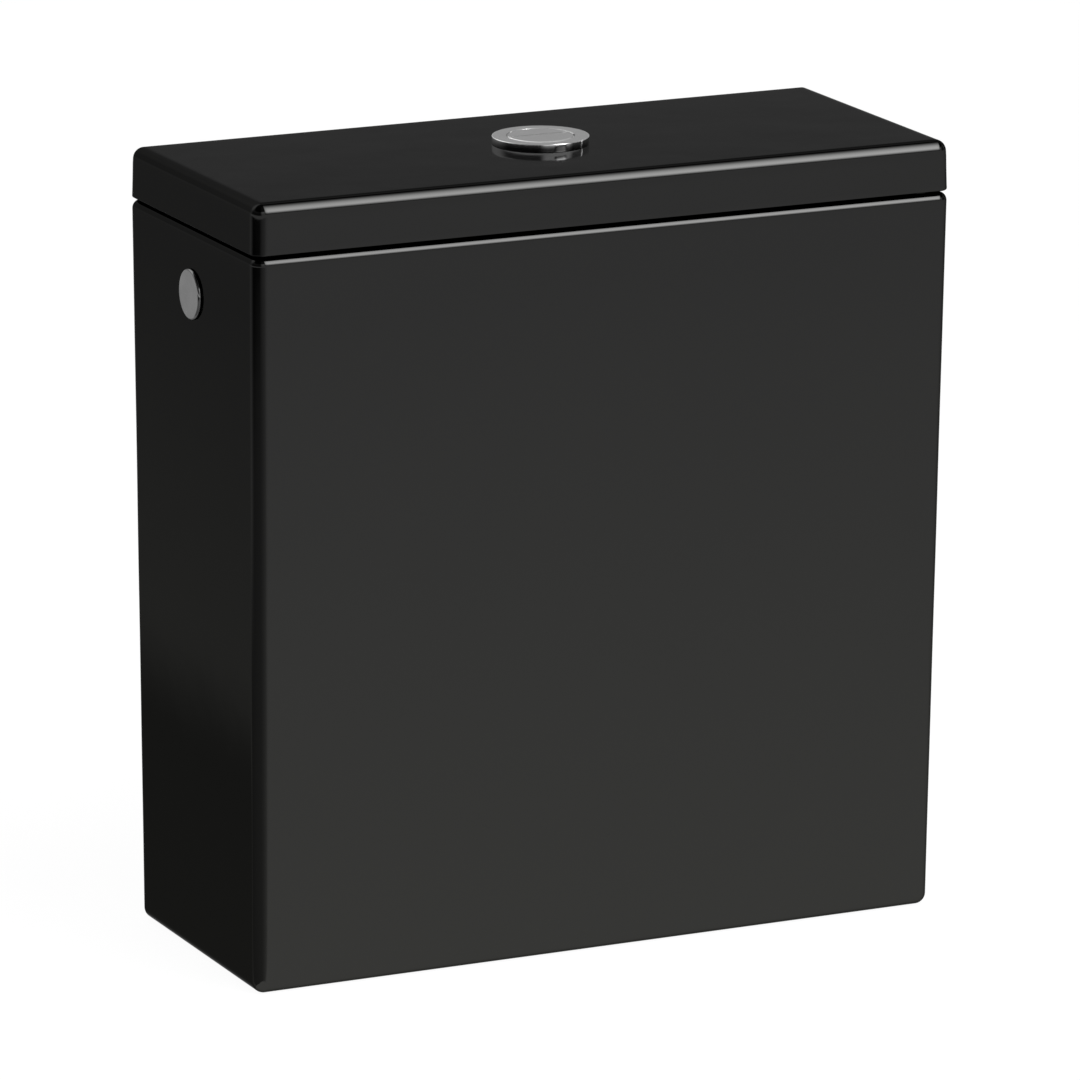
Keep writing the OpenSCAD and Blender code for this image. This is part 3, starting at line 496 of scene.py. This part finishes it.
def buildSpring(name, y):
    # a round wire on a helix about the rod: upright rings of points, joined along the winding
    s = springSet
    low, high = (np.array(c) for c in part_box("full_spring" if y < 0 else "half_spring"))
    wire = s["wire"]
    r = (high[0] - low[0])/2 - wire
    t = np.linspace(0, 1, s["turns"]*s["steps"] + 1)[:, None]
    a = 2*np.pi*s["turns"]*t
    b = np.linspace(0, 2*np.pi, s["sides"], endpoint=False)[None, :]
    rad = r + wire*np.cos(b)
    z = low[2] + wire + (high[2] - low[2] - 2*wire)*t + wire*np.sin(b)
    verts, faces = closeEnds(np.stack([rad*np.cos(a), y + rad*np.sin(a), z], axis=-1))
    return smoothMesh(name, verts, [f[::-1] for f in faces], s["sharp"])


noiseLow, noiseHigh = 0.3, 0.7   # most of a noise's values lie between these


def newMaterial(name):
    # an empty Principled material and what is needed to wire it
    material = bpy.data.materials.new(name)
    material.use_nodes = True
    nodes, links = material.node_tree.nodes, material.node_tree.links
    return material, nodes, links, nodes["Principled BSDF"]


def noise(nodes, links, scale, detail=2.0, stretch=(1, 1, 1)):
    # noise over the object's own coordinates, as a value from 0 to 1
    place = nodes.new("ShaderNodeTexCoord")
    turn = nodes.new("ShaderNodeMapping")
    turn.inputs["Scale"].default_value = stretch
    texture = nodes.new("ShaderNodeTexNoise")
    texture.inputs["Scale"].default_value = scale
    texture.inputs["Detail"].default_value = detail
    links.new(place.outputs["Object"], turn.inputs["Vector"])
    links.new(turn.outputs["Vector"], texture.inputs["Vector"])
    return texture.outputs["Fac"]


def ramp(nodes, links, value, low, high, lowAt=noiseLow, highAt=noiseHigh):
    # value spread between two colours
    band = nodes.new("ShaderNodeValToRGB")
    band.color_ramp.elements[0].position = lowAt
    band.color_ramp.elements[0].color = (*low, 1)
    band.color_ramp.elements[1].position = highAt
    band.color_ramp.elements[1].color = (*high, 1)
    links.new(value, band.inputs["Fac"])
    return band.outputs["Color"]


def spread(nodes, links, value, low, high):
    # value mapped onto a range of numbers
    change = nodes.new("ShaderNodeMapRange")
    change.inputs["From Min"].default_value = noiseLow
    change.inputs["From Max"].default_value = noiseHigh
    change.inputs["To Min"].default_value = low
    change.inputs["To Max"].default_value = high
    links.new(value, change.inputs["Value"])
    return change.outputs["Result"]


def bump(nodes, links, shader, value, strength, distance):
    # tilts the surface by the slope of value
    lift = nodes.new("ShaderNodeBump")
    lift.inputs["Strength"].default_value = strength
    lift.inputs["Distance"].default_value = distance
    links.new(value, lift.inputs["Height"])
    links.new(lift.outputs["Normal"], shader.inputs["Normal"])


def tint(nodes, links, shader, value, low, high):
    # base colour between two colours
    links.new(ramp(nodes, links, value, low, high), shader.inputs["Base Color"])


def roughen(nodes, links, shader, value, low, high):
    # roughness between two numbers
    links.new(spread(nodes, links, value, low, high), shader.inputs["Roughness"])


def grey(v):
    return (v, v, v)


glazeSet = dict(
    foot=(0.0372, 0.0372, 0.0350),   # share that is mirrored head-on, at the foot, raised as a painted reflection of the brighter floor there
    top=(0.0262, 0.0262, 0.0259),    # and at the top
    slant=0.426,           # share of the usual brightening at a slant
    cloud=0.12,            # how far the clouding shifts the fade
    rough=(0.05, 0.09),    # least and most roughness
    ripple=(0.04, 0.004),  # strength and depth of the slow ripple
)


def glazeMaterial():
    # deep black glaze: a faint mirror of about 3 % head-on that hardly brightens at a slant, paler
    # towards the foot as a painted reflection of the brighter floor near it
    s = glazeSet
    material, nodes, links, shader = newMaterial("blackGlaze")
    place = nodes.new("ShaderNodeTexCoord")
    split = nodes.new("ShaderNodeSeparateXYZ")
    links.new(place.outputs["Object"], split.inputs["Vector"])
    rise = nodes.new("ShaderNodeMapRange")
    rise.inputs["From Max"].default_value = tankHigh[2]
    links.new(split.outputs["Z"], rise.inputs["Value"])
    cloud = nodes.new("ShaderNodeMath")
    cloud.operation = "MULTIPLY_ADD"
    cloud.inputs[1].default_value = s["cloud"]
    links.new(noise(nodes, links, scale=9, detail=3), cloud.inputs[0])
    links.new(rise.outputs["Result"], cloud.inputs[2])
    # painted reflection: the mirrored share grows from the top to the foot, standing in for the floor's
    # brighter reflection low down
    fade = ramp(nodes, links, cloud.outputs[0], s["foot"], s["top"], 0.0, 1.0)
    links.new(fade, shader.inputs["Base Color"])
    shader.inputs["Metallic"].default_value = 1
    shader.inputs["Specular Tint"].default_value = (*grey(s["slant"]), 1)
    roughen(nodes, links, shader, noise(nodes, links, scale=60, detail=3), *s["rough"])
    bump(nodes, links, shader, noise(nodes, links, scale=24, detail=2), *s["ripple"])
    return material


def chromeMaterial(name, low, high, slant=1.0):
    # plated metal with faint wipe marks, slant dims it where it is seen edge-on
    material, nodes, links, shader = newMaterial(name)
    tint(nodes, links, shader, noise(nodes, links, scale=90, detail=2), grey(low), grey(high))
    shader.inputs["Metallic"].default_value = 1
    shader.inputs["Specular Tint"].default_value = (*grey(slant), 1)
    roughen(nodes, links, shader, noise(nodes, links, scale=300, detail=3, stretch=(1, 6, 1)), 0.07, 0.13)
    bump(nodes, links, shader, noise(nodes, links, scale=140, detail=2), strength=0.03, distance=0.001)
    return material


def plasticMaterial(name, low, high, rough=(0.3, 0.42)):
    # moulded plastic: slight mottling of the colour and a fine orange peel
    material, nodes, links, shader = newMaterial(name)
    tint(nodes, links, shader, noise(nodes, links, scale=30, detail=4), low, high)
    roughen(nodes, links, shader, noise(nodes, links, scale=180, detail=2), *rough)
    bump(nodes, links, shader, noise(nodes, links, scale=900, detail=2), strength=0.08, distance=0.0004)
    return material


def rubberMaterial(name, low, high):
    # dull rubber with a pale bloom and a fine grain
    material, nodes, links, shader = newMaterial(name)
    tint(nodes, links, shader, noise(nodes, links, scale=70, detail=5), low, high)
    roughen(nodes, links, shader, noise(nodes, links, scale=200, detail=2), 0.6, 0.8)
    bump(nodes, links, shader, noise(nodes, links, scale=1400, detail=3), strength=0.2, distance=0.0005)
    return material


def metalMaterial(name, low, high, rough, stretch):
    # machined metal: fine turning lines along one direction
    material, nodes, links, shader = newMaterial(name)
    lines = noise(nodes, links, scale=400, detail=3, stretch=stretch)
    tint(nodes, links, shader, noise(nodes, links, scale=50, detail=3), low, high)
    shader.inputs["Metallic"].default_value = 1
    roughen(nodes, links, shader, lines, *rough)
    bump(nodes, links, shader, lines, strength=0.15, distance=0.0003)
    return material


def dress(piece, material):
    # gives a piece of the scene its one material
    piece.data.materials.clear()
    piece.data.materials.append(material)


def dressNode(name, material):
    # puts a material into every slot of a CAD node
    node = frame["nodes"][name]
    for place in node.material_slots:
        place.material = material
    if not node.material_slots:
        node.data.materials.append(material)


finishes = dict(
    glaze=glazeMaterial(),
    chrome=chromeMaterial("buttonChrome", 0.95, 1.0),
    capChrome=chromeMaterial("capChrome", 0.185, 0.215, 0.62),
    rubber=rubberMaterial("blackRubber", grey(0.012), grey(0.03)),
    white_plastic=plasticMaterial("whitePlastic", (0.68, 0.69, 0.68), (0.76, 0.77, 0.76)),
    blue_plastic=plasticMaterial("bluePlastic", (0.03, 0.11, 0.30), (0.045, 0.15, 0.37)),
    grey_plastic=plasticMaterial("greyPlastic", (0.25, 0.26, 0.27), (0.31, 0.32, 0.33)),
    silicone=rubberMaterial("greySilicone", (0.10, 0.13, 0.16), (0.15, 0.18, 0.21)),
    fibre=rubberMaterial("redFibre", (0.16, 0.035, 0.02), (0.24, 0.06, 0.03)),
    brass=metalMaterial("turnedBrass", (0.50, 0.33, 0.10), (0.62, 0.43, 0.16), (0.18, 0.34), (40, 1, 1)),
    steel=metalMaterial("drawnSteel", grey(0.42), grey(0.55), (0.2, 0.35), (1, 1, 40)),
)
print("stage: finishes made")

for part in frame["record"]["subparts"]:
    dressNode(part["node"], finishes[part["material_slot"]])

tank = buildTank()
lid = buildLid()
bezel = buildBezel()
fullY = (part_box("full_rod")[0][1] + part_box("full_rod")[1][1])/2
halfY = (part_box("half_rod")[0][1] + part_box("half_rod")[1][1])/2
fullButton = buildButton("fullButton", fullLow, fullHigh, True, fullY)
halfButton = buildButton("halfButton", halfLow, halfHigh, False, halfY)
cap = buildCap()
fullSpring = buildSpring("fullSpring", fullY)
halfSpring = buildSpring("halfSpring", halfY)

for piece, body, node, slotName, finish in (
    (tank, "tank", "tank", "glaze", "glaze"),
    (lid, "lid", "lid", "glaze", "glaze"),
    (bezel, "lid", "button_bezel", "chrome", "chrome"),
    (fullButton, "full_button", "full_button", "chrome", "chrome"),
    (halfButton, "half_button", "half_button", "chrome", "chrome"),
    (cap, "tank", "side_cap", "chrome", "capChrome"),
    (fullSpring, "lid", "full_spring", "steel", "steel"),
    (halfSpring, "lid", "half_spring", "steel", "steel"),
):
    dress(piece, finishes[finish])
    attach(piece, body)
    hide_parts(node)
for piece, joint, y in ((fullSpring, "full_press", fullY), (halfSpring, "half_press", halfY)):
    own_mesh(piece)
print("stage: shells, button, cap and springs built")

viewSet = dict(
    yaw=24.980,            # degrees to the right
    pitch=14.285,          # degrees down
    roll=0.050,
    place=(-1.7300, -3.7132, 1.2428),
    lens=274.5,            # mm
    sensor=36,             # mm
    reach=100,
)


def buildCamera():
    # yaw and pitch give the way ahead, right and up stand square to it and turn by the roll
    yaw, pitch, roll = (math.radians(viewSet[k]) for k in ("yaw", "pitch", "roll"))
    ahead = Vector((math.sin(yaw)*math.cos(pitch), math.cos(yaw)*math.cos(pitch), -math.sin(pitch)))
    right = Vector((math.cos(yaw), -math.sin(yaw), 0))
    up = right.cross(ahead)
    rightRolled = right*math.cos(roll) + up*math.sin(roll)
    upRolled = up*math.cos(roll) - right*math.sin(roll)
    data = bpy.data.cameras.new("camera")
    data.lens = viewSet["lens"]
    data.sensor_width = viewSet["sensor"]
    data.clip_end = viewSet["reach"]
    camera = bpy.data.objects.new("camera", data)
    turn = Matrix((rightRolled, upRolled, -ahead)).transposed().to_4x4()
    camera.matrix_world = Matrix.Translation(viewSet["place"]) @ turn
    bpy.context.scene.collection.objects.link(camera)
    bpy.context.scene.camera = camera


def seenDirectly(nodes, links):
    # 1 for rays from the camera, from gloss and through glass, else 0
    path = nodes.new("ShaderNodeLightPath")
    first = nodes.new("ShaderNodeMath")
    first.operation = "MAXIMUM"
    links.new(path.outputs["Is Camera Ray"], first.inputs[0])
    links.new(path.outputs["Is Glossy Ray"], first.inputs[1])
    both = nodes.new("ShaderNodeMath")
    both.operation = "MAXIMUM"
    links.new(first.outputs[0], both.inputs[0])
    links.new(path.outputs["Is Transmission Ray"], both.inputs[1])
    return both.outputs[0]


floorSet = dict(
    radius=14.0,
    turns=96,
    shade=0.88,
    rough=0.9,
    glow=1.13,             # brightness where it is seen directly
    share=0.84,            # how much of that glow hides the shadow
)


def buildFloor():
    # a wide pale disc that shows white and keeps a soft shadow
    s = floorSet
    a = np.linspace(0, 2*np.pi, s["turns"], endpoint=False)
    z = np.full(s["turns"], cadBox[0][2])
    verts = np.stack([s["radius"]*np.cos(a), s["radius"]*np.sin(a), z], axis=-1)
    floor = smoothMesh("floor", verts, [tuple(range(s["turns"]))])
    material, nodes, links, shader = newMaterial("paleFloor")
    shader.inputs["Base Color"].default_value = (*grey(s["shade"]), 1)
    shader.inputs["Roughness"].default_value = s["rough"]
    glow = nodes.new("ShaderNodeEmission")
    glow.inputs["Strength"].default_value = s["glow"]
    mix = nodes.new("ShaderNodeMixShader")
    share = nodes.new("ShaderNodeMath")
    share.operation = "MULTIPLY"
    share.inputs[1].default_value = s["share"]
    links.new(seenDirectly(nodes, links), share.inputs[0])
    links.new(share.outputs[0], mix.inputs[0])
    links.new(shader.outputs[0], mix.inputs[1])
    links.new(glow.outputs[0], mix.inputs[2])
    links.new(mix.outputs[0], nodes["Material Output"].inputs["Surface"])
    dress(floor, material)


worldSet = dict(
    cove=0.11,             # height, as a sine, where the white floor fades into the wall
    lift=(0.28, 0.5, 2.0),    # paler from the first height to the second, by this factor
    sky=(0.46, 0.64, 0.06),   # then dark from the first height to the second, down to this share
    lean=0.6,              # how much later it gets dark behind
    wall=(                 # bearing in degrees from the front, to the right, and brightness
        (-180, 0.58), (-158, 0.68), (-138, 0.60), (-112, 0.10), (-26, 0.08), (-12, 0.9), (20, 1.0),
        (46, 1.0), (58, 0.15), (130, 0.2), (147, 0.285), (159, 0.29), (172, 0.55), (180, 0.58),
    ),
)


def buildWorld():
    # a round studio: brightness follows the bearing, and the foot of the wall is as white as the floor
    world = bpy.data.worlds.new("studio")
    world.use_nodes = True
    bpy.context.scene.world = world
    nodes, links = world.node_tree.nodes, world.node_tree.links
    way = nodes.new("ShaderNodeTexCoord")
    split = nodes.new("ShaderNodeSeparateXYZ")
    links.new(way.outputs["Generated"], split.inputs["Vector"])

    def maths(operation, first, second):
        node = nodes.new("ShaderNodeMath")
        node.operation = operation
        for place, value in zip(node.inputs, (first, second)):
            if isinstance(value, (int, float)):
                place.default_value = value
            else:
                links.new(value, place)
        return node.outputs[0]

    def fade(value, low, high, start, end):
        node = nodes.new("ShaderNodeMapRange")
        node.interpolation_type = "SMOOTHSTEP"
        for name, number in (("From Min", low), ("From Max", high), ("To Min", start), ("To Max", end)):
            node.inputs[name].default_value = number
        links.new(value, node.inputs["Value"])
        return node.outputs["Result"]

    ahead = maths("MULTIPLY", split.outputs["Y"], -1.0)
    turn = maths("ARCTAN2", split.outputs["X"], ahead)
    share = maths("ADD", maths("DIVIDE", turn, 2*math.pi), 0.5)
    wall = nodes.new("ShaderNodeValToRGB")
    stops = wall.color_ramp.elements
    for i, (bearing, bright) in enumerate(worldSet["wall"]):
        at = (bearing + 180)/360
        stop = stops[0] if i == 0 else stops[len(stops) - 1] if at == 1 else stops.new(at)
        stop.color = (*grey(bright), 1)
    links.new(share, wall.inputs["Fac"])
    low, high, most = worldSet["lift"]
    lifted = maths("MULTIPLY", wall.outputs["Color"], fade(split.outputs["Z"], low, high, 1.0, most))
    low, high, least = worldSet["sky"]
    leaning = maths("MULTIPLY", maths("MAXIMUM", split.outputs["Y"], 0.0), worldSet["lean"])
    height = maths("SUBTRACT", split.outputs["Z"], leaning)
    dimmed = maths("MULTIPLY", lifted, fade(height, low, high, 1.0, least))
    total = maths("MAXIMUM", dimmed, fade(split.outputs["Z"], 0.0, worldSet["cove"], 1.0, 0.0))
    links.new(total, nodes["Background"].inputs["Strength"])
    nodes["Background"].inputs["Color"].default_value = (1, 1, 1, 1)


lamps = dict(
    key=dict(place=(0.5, -1.2, 2.3), aim=(0, 0, 0.2), size=(1.5, 1.5), power=28, unseen="visible_glossy"),
    slit=dict(place=(2.4, 0.0, 1.0), aim=(0, 0, 0.4), size=(0.10, 0.8), power=1.1, unseen="visible_diffuse"),
)


def buildLamps():
    # flat lamps turned to their aims: the key lights the floor and shadow, the slit shows in gloss alone
    for name, s in lamps.items():
        data = bpy.data.lights.new(name, "AREA")
        data.shape = "RECTANGLE"
        data.size, data.size_y = s["size"]
        data.energy = s["power"]
        lamp = bpy.data.objects.new(name, data)
        lamp.location = s["place"]
        lamp.rotation_euler = (Vector(s["aim"]) - Vector(s["place"])).to_track_quat("-Z", "Y").to_euler()
        setattr(lamp, s["unseen"], False)
        bpy.context.scene.collection.objects.link(lamp)


def smoothStep(v, low, high):
    # 0 below low, 1 above high, and an even curve between
    t = np.clip((v - low)/(high - low), 0, 1)
    return t*t*(3 - 2*t)


def openGrid(rows, cols):
    # quads of a grid that doesn't close on itself
    r, c = (v.ravel() for v in np.meshgrid(np.arange(rows - 1), np.arange(cols - 1), indexing="ij"))
    return np.stack([r*cols + c, r*cols + c + 1, (r + 1)*cols + c + 1, (r + 1)*cols + c], axis=-1)


def reflectedOnly(name, points, amount, glow):
    # a sheet that only reflections show: it glows by the amount stored at each point, or darkens by it
    sheet = smoothMesh(name, points.reshape(-1, 3), openGrid(*points.shape[:2]))
    store = sheet.data.attributes.new("amount", "FLOAT", "POINT")
    store.data.foreach_set("value", amount.ravel())
    material, nodes, links, shader = newMaterial(name)
    stored = nodes.new("ShaderNodeAttribute")
    stored.attribute_name = "amount"
    if glow:
        light = nodes.new("ShaderNodeEmission")
        links.new(stored.outputs["Fac"], light.inputs["Strength"])
        links.new(light.outputs[0], nodes["Material Output"].inputs["Surface"])
    else:
        shader.inputs["Base Color"].default_value = (*grey(0.005), 1)
        shader.inputs["Roughness"].default_value = 1
        shader.inputs["Specular IOR Level"].default_value = 0
        links.new(stored.outputs["Fac"], shader.inputs["Alpha"])
    dress(sheet, material)
    for ray in ("visible_camera", "visible_diffuse", "visible_shadow", "visible_transmission"):
        setattr(sheet, ray, False)


panelSet = dict(
    radius=2.4,            # arc about a line along X at the lid's height
    span=(10, 106),        # degrees up from the front
    peak=38,
    power=12,
    x=(0.35, 0.75, 1.45, 1.85),   # fades in, full, fades out
    slope=(0.9, 0.2),      # share at its left end, and what it gains per metre to the right
    steps=(50, 30),
)


def buildPanel():
    # a curved white panel in front and above, to the right, that draws the long gleams on the front edges
    s = panelSet
    low, high = s["span"]
    x0, x1, x2, x3 = s["x"]
    a = np.linspace(low, high, s["steps"][0])[:, None]
    x = np.linspace(x0, x3, s["steps"][1])[None, :]
    up = np.radians(a)
    points = np.stack(np.broadcast_arrays(
        x, -s["radius"]*np.cos(up), lidLow[2] + s["radius"]*np.sin(up)), axis=-1)
    rise = smoothStep(a, low, s["peak"])*(1 - smoothStep(a, s["peak"], high))
    across = smoothStep(x, x0, x1)*(1 - smoothStep(x, x2, x3))
    start, gain = s["slope"]
    reflectedOnly("whitePanel", points, s["power"]*rise*across*(start + gain*(x - x0)), True)


shadeSheetSet = dict(
    centre=(-0.188, -0.076),       # foot of the front left edge
    lift=1*mm,                     # above the floor
    reach=(0.01, 4.5),
    steps=120,
    bearing=(-22, -14, -5, 5, 15, 35, 110, 180),   # degrees round from the front, to the left
    dark=(0, 0.36, 0.48, 0.56, 0.63, 0.72, 0.78, 0.78),
    nearEnd=(132, 160),            # bearings between which the painted shade ends, close to the wall
    farEnd=(94, 155),              # and further out
    endAt=(0.5, 1.1),              # distances between which one changes into the other
    far=(0.9, 1.5, 0.20),          # from one distance to the next it darkens by this share more
    farFrom=(10, 40),              # bearings between which that sets in
    strip=(0.15, 0.24),            # distances from the left wall between which the strip ends
    stripDark=(0.57, 0.04),        # its darkness, and what is left beyond
    stripFrom=(112, 150),          # bearings between which it sets in
    stripEnd=(1.2, 2.4),           # distances between which it fades out
)


def buildShadeSheet():
    # a sheet on the floor to the left, outside the picture and seen only in reflections, that paints shade
    # onto
    # the left edge and the foot of that side: darkness over bearing and distance, and a strip along the wall
    # where that is darker
    s = shadeSheetSet
    far = np.linspace(*s["reach"], s["steps"])[:, None]
    turn = np.linspace(s["bearing"][0], s["bearing"][-1], s["steps"])[None, :]
    side = far*np.sin(np.radians(turn))
    ahead = far*np.cos(np.radians(turn))
    points = np.stack(np.broadcast_arrays(
        s["centre"][0] - side, s["centre"][1] - ahead, cadBox[0][2] + s["lift"]), axis=-1)
    out = smoothStep(far, *s["endAt"])
    nearEdge, farEdge = (1 - smoothStep(turn, *s[k]) for k in ("nearEnd", "farEnd"))
    edge = nearEdge*(1 - out) + farEdge*out
    start, end, more = s["far"]
    dark = np.interp(turn, s["bearing"], s["dark"])
    dark = edge*(dark + more*smoothStep(far, start, end)*smoothStep(turn, *s["farFrom"]))
    near, beyond = s["stripDark"]
    strip = near + (beyond - near)*smoothStep(side, *s["strip"])
    strip = strip*smoothStep(turn, *s["stripFrom"])*(1 - smoothStep(far, *s["stripEnd"]))
    # painted shade: a dark sheet that only gloss sees, darkening the floor's reflection in the left face
    reflectedOnly("paintedShadeSheet", points, np.clip(np.maximum(dark, strip), 0, 1), False)


buildCamera()
buildFloor()
buildWorld()
buildLamps()
buildPanel()
buildShadeSheet()
bpy.context.scene.view_settings.view_transform = "Standard"
print("stage: camera, floor and lamps placed")
